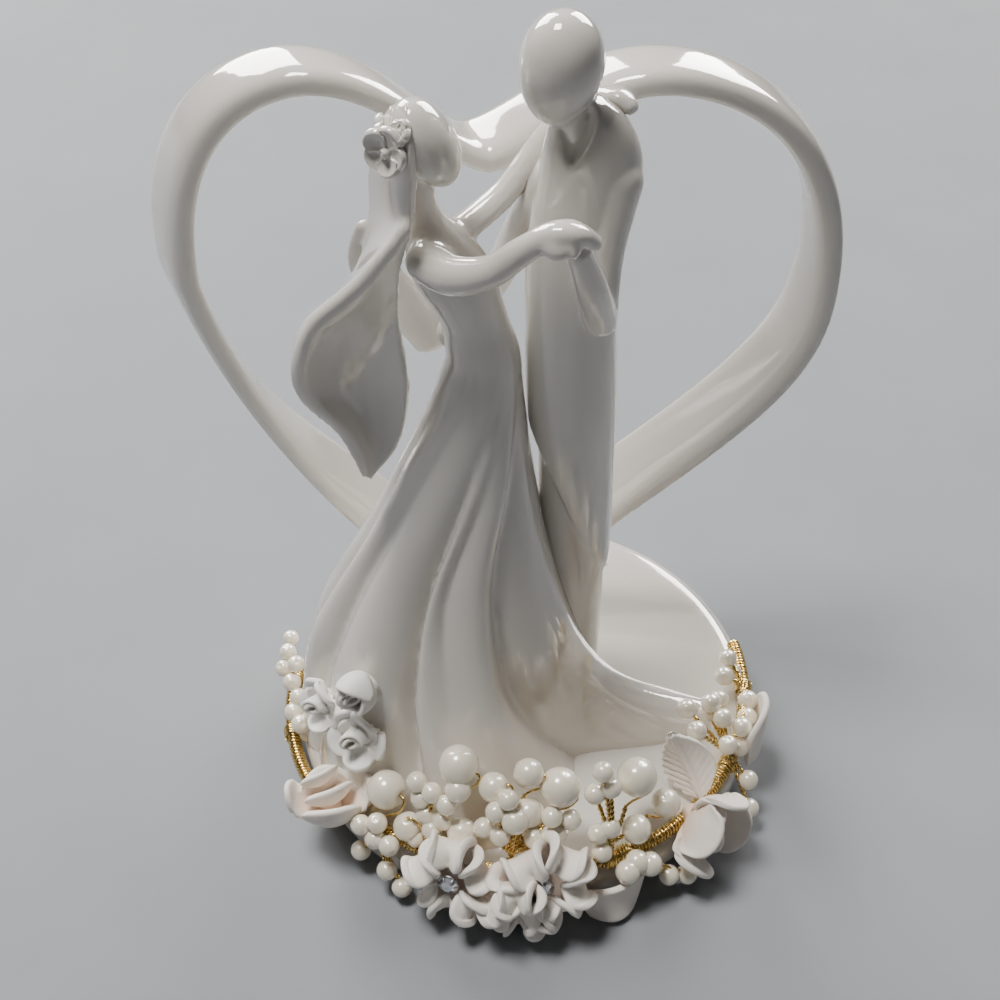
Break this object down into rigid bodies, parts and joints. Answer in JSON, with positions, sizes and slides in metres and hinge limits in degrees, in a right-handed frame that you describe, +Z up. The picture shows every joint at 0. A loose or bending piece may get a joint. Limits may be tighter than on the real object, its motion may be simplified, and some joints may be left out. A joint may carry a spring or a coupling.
{
  "type": "wedding cake topper",
  "caption": "Glazed white porcelain couple dancing in front of an open heart on a round base, with a wired garland of pearls and clay flowers round the front.",
  "frame": {"origin": "middle of the base's underside, on the surface it stands on", "axes": "+Z up; the couple is seen from -Y, with the heart behind it towards +Y and the gown's train towards +X"},
  "size_m": [0.126, 0.1086, 0.1676],
  "materials": {
    "porcelain": "glossy clear glaze over white porcelain",
    "clay": "matt, unglazed warm white",
    "gold": "bright gold-coloured wire",
    "pearl": "cream imitation pearl with a soft lustre",
    "crystal": "cut clear rhinestone"
  },
  "bodies": {
    "root": {"base": "porcelain", "bride_bodice": "porcelain", "bride_far_arm": "porcelain", "bride_gown": "porcelain", "bride_head": "porcelain", "bride_near_arm": "porcelain", "bride_veil": "porcelain", "flower_front": "clay", "flower_front_left": "clay", "flower_front_left_stone": "crystal", "flower_front_low": "clay", "flower_front_stone": "crystal", "flower_left": "clay", "flower_right": "clay", "flower_right_low": "clay", "garland_band": "gold", "garland_binding": "gold", "gown_rose_left": "clay", "gown_rose_low": "clay", "gown_rosebud": "clay", "groom_coat": "porcelain", "groom_far_arm": "porcelain", "groom_head": "porcelain", "groom_near_arm": "porcelain", "groom_trousers": "porcelain", "hair_blossom_back": "porcelain", "hair_blossom_lower": "porcelain", "hair_blossom_upper": "porcelain", "heart_left": "porcelain", "heart_right": "porcelain", "leaf_right": "clay", "leaf_right_rear": "clay", "pearl_front_high": "pearl", "pearl_front_low": "pearl", "pearl_large_front": "pearl", "pearl_large_left": "pearl", "pearl_large_middle": "pearl", "pearl_large_right": "pearl", "pearl_left": "pearl", "pearl_middle_high": "pearl", "pearl_middle_low": "pearl", "pearl_right": "pearl", "pearl_right_low": "pearl", "spray_front": "pearl", "spray_front_left": "pearl", "spray_front_right": "pearl", "spray_left": "pearl", "spray_left_front": "pearl", "spray_left_rear": "pearl", "spray_right": "pearl", "spray_right_low": "pearl", "spray_right_rear": "pearl"}
  },
  "joints": []
}
